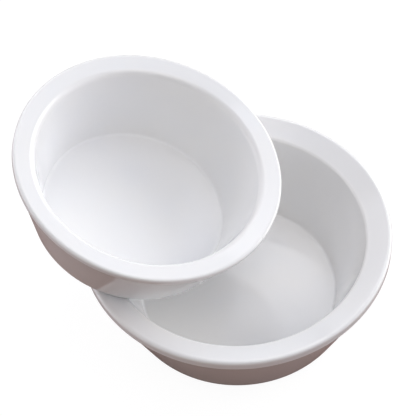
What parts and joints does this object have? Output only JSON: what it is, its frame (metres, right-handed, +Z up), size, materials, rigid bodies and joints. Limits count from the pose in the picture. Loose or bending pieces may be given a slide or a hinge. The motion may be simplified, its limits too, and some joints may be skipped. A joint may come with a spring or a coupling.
{
  "type": "evaporating dish",
  "caption": "Flat-bottomed white porcelain evaporating dish with a wide rim that slopes in to the mouth, and a smaller loose dish of the same pattern leaning in it; each holds a liquid while it boils down.",
  "frame": {"origin": "centre of the large dish's flat foot, on the bench", "axes": "+Z up along the large dish's axis; +X the way the small dish leans, so the pair is symmetric about the XZ plane"},
  "size_m": [0.21, 0.1784, 0.1335],
  "materials": {
    "white_glaze": "high gloss"
  },
  "bodies": {
    "large_dish": {"large_dish": "white_glaze"},
    "small_dish": {"small_dish": "white_glaze"}
  },
  "joints": [
    {"name": "small_dish_lift", "type": "slide", "parent": "large_dish", "child": "small_dish", "axis": [0, 0, 1], "range_m": [0, 0.1]}
  ]
}
